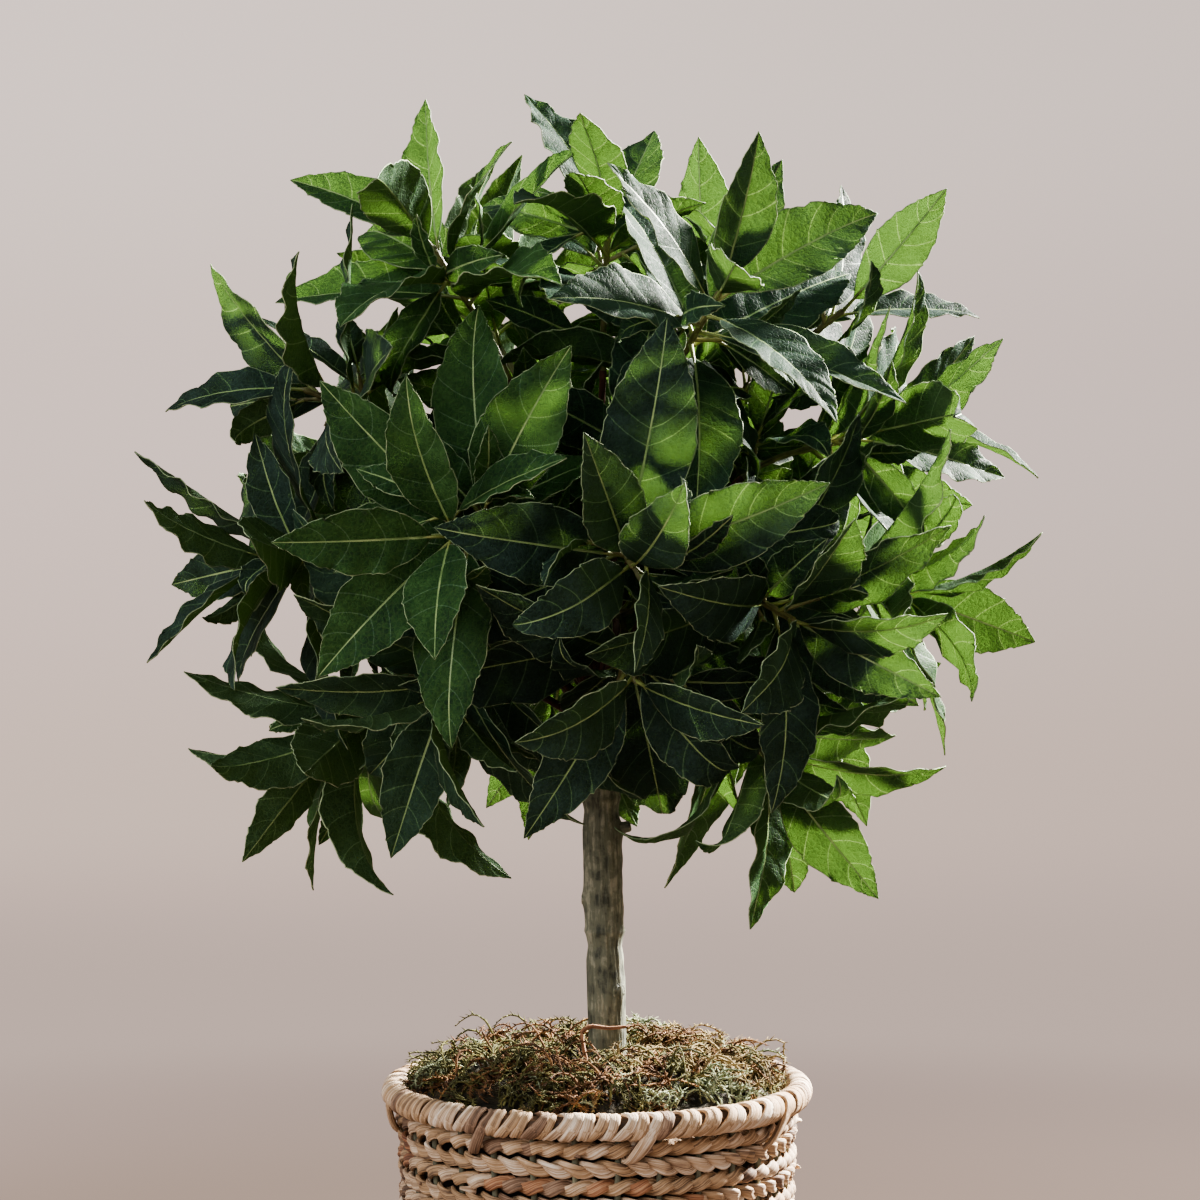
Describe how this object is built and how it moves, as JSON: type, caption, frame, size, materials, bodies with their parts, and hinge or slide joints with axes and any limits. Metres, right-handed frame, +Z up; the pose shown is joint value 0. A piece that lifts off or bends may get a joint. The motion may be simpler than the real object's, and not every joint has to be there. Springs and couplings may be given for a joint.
{
  "type": "artificial standard bay tree in a basket",
  "caption": "Artificial bay tree trained as a ball of large leaves on a bare stem, standing in a round woven grass basket topped with dried moss.",
  "frame": {"origin": "centre of the basket's flat underside", "axes": "+Z up along the tree; -Y is the front of the pictured view; +X is to its right"},
  "size_m": [0.3543, 0.3412, 0.5467],
  "materials": {
    "leaves": "coated cloth leaves",
    "bough_stem": "moulded",
    "trunk_bark": "rough bark",
    "basket_weave": "dry twined grass",
    "basket_rim": "dry wrapped grass",
    "basket_stakes": "dry cane",
    "liner": "moulded",
    "filler": "rough foam",
    "moss": "dried moss"
  },
  "bodies": {
    "root": {"basket_frame": "basket_stakes", "basket_rim": "basket_rim", "bough_01": "bough_stem", "bough_02": "bough_stem", "bough_03": "bough_stem", "bough_04": "bough_stem", "bough_05": "bough_stem", "bough_06": "bough_stem", "bough_07": "bough_stem", "bough_08": "bough_stem", "bough_09": "bough_stem", "bough_10": "bough_stem", "bough_11": "bough_stem", "bough_12": "bough_stem", "bough_13": "bough_stem", "bough_14": "bough_stem", "bough_15": "bough_stem", "bough_16": "bough_stem", "bough_17": "bough_stem", "bough_18": "bough_stem", "bough_19": "bough_stem", "bough_20": "bough_stem", "bough_21": "bough_stem", "bough_22": "bough_stem", "filler": "filler", "leaf_spray_01": "leaves", "leaf_spray_02": "leaves", "leaf_spray_03": "leaves", "leaf_spray_04": "leaves", "leaf_spray_05": "leaves", "leaf_spray_06": "leaves", "leaf_spray_07": "leaves", "leaf_spray_08": "leaves", "leaf_spray_09": "leaves", "leaf_spray_10": "leaves", "leaf_spray_11": "leaves", "leaf_spray_12": "leaves", "leaf_spray_13": "leaves", "leaf_spray_14": "leaves", "leaf_spray_15": "leaves", "leaf_spray_16": "leaves", "leaf_spray_17": "leaves", "leaf_spray_18": "leaves", "leaf_spray_19": "leaves", "leaf_spray_20": "leaves", "leaf_spray_21": "leaves", "leaf_spray_22": "leaves", "liner": "liner", "moss_bed": "moss", "trunk": "trunk_bark", "weave_band_01": "basket_weave", "weave_band_02": "basket_weave", "weave_band_03": "basket_weave", "weave_band_04": "basket_weave", "weave_band_05": "basket_weave", "weave_band_06": "basket_weave", "weave_band_07": "basket_weave", "weave_band_08": "basket_weave", "weave_band_09": "basket_weave", "weave_band_10": "basket_weave"}
  },
  "joints": []
}
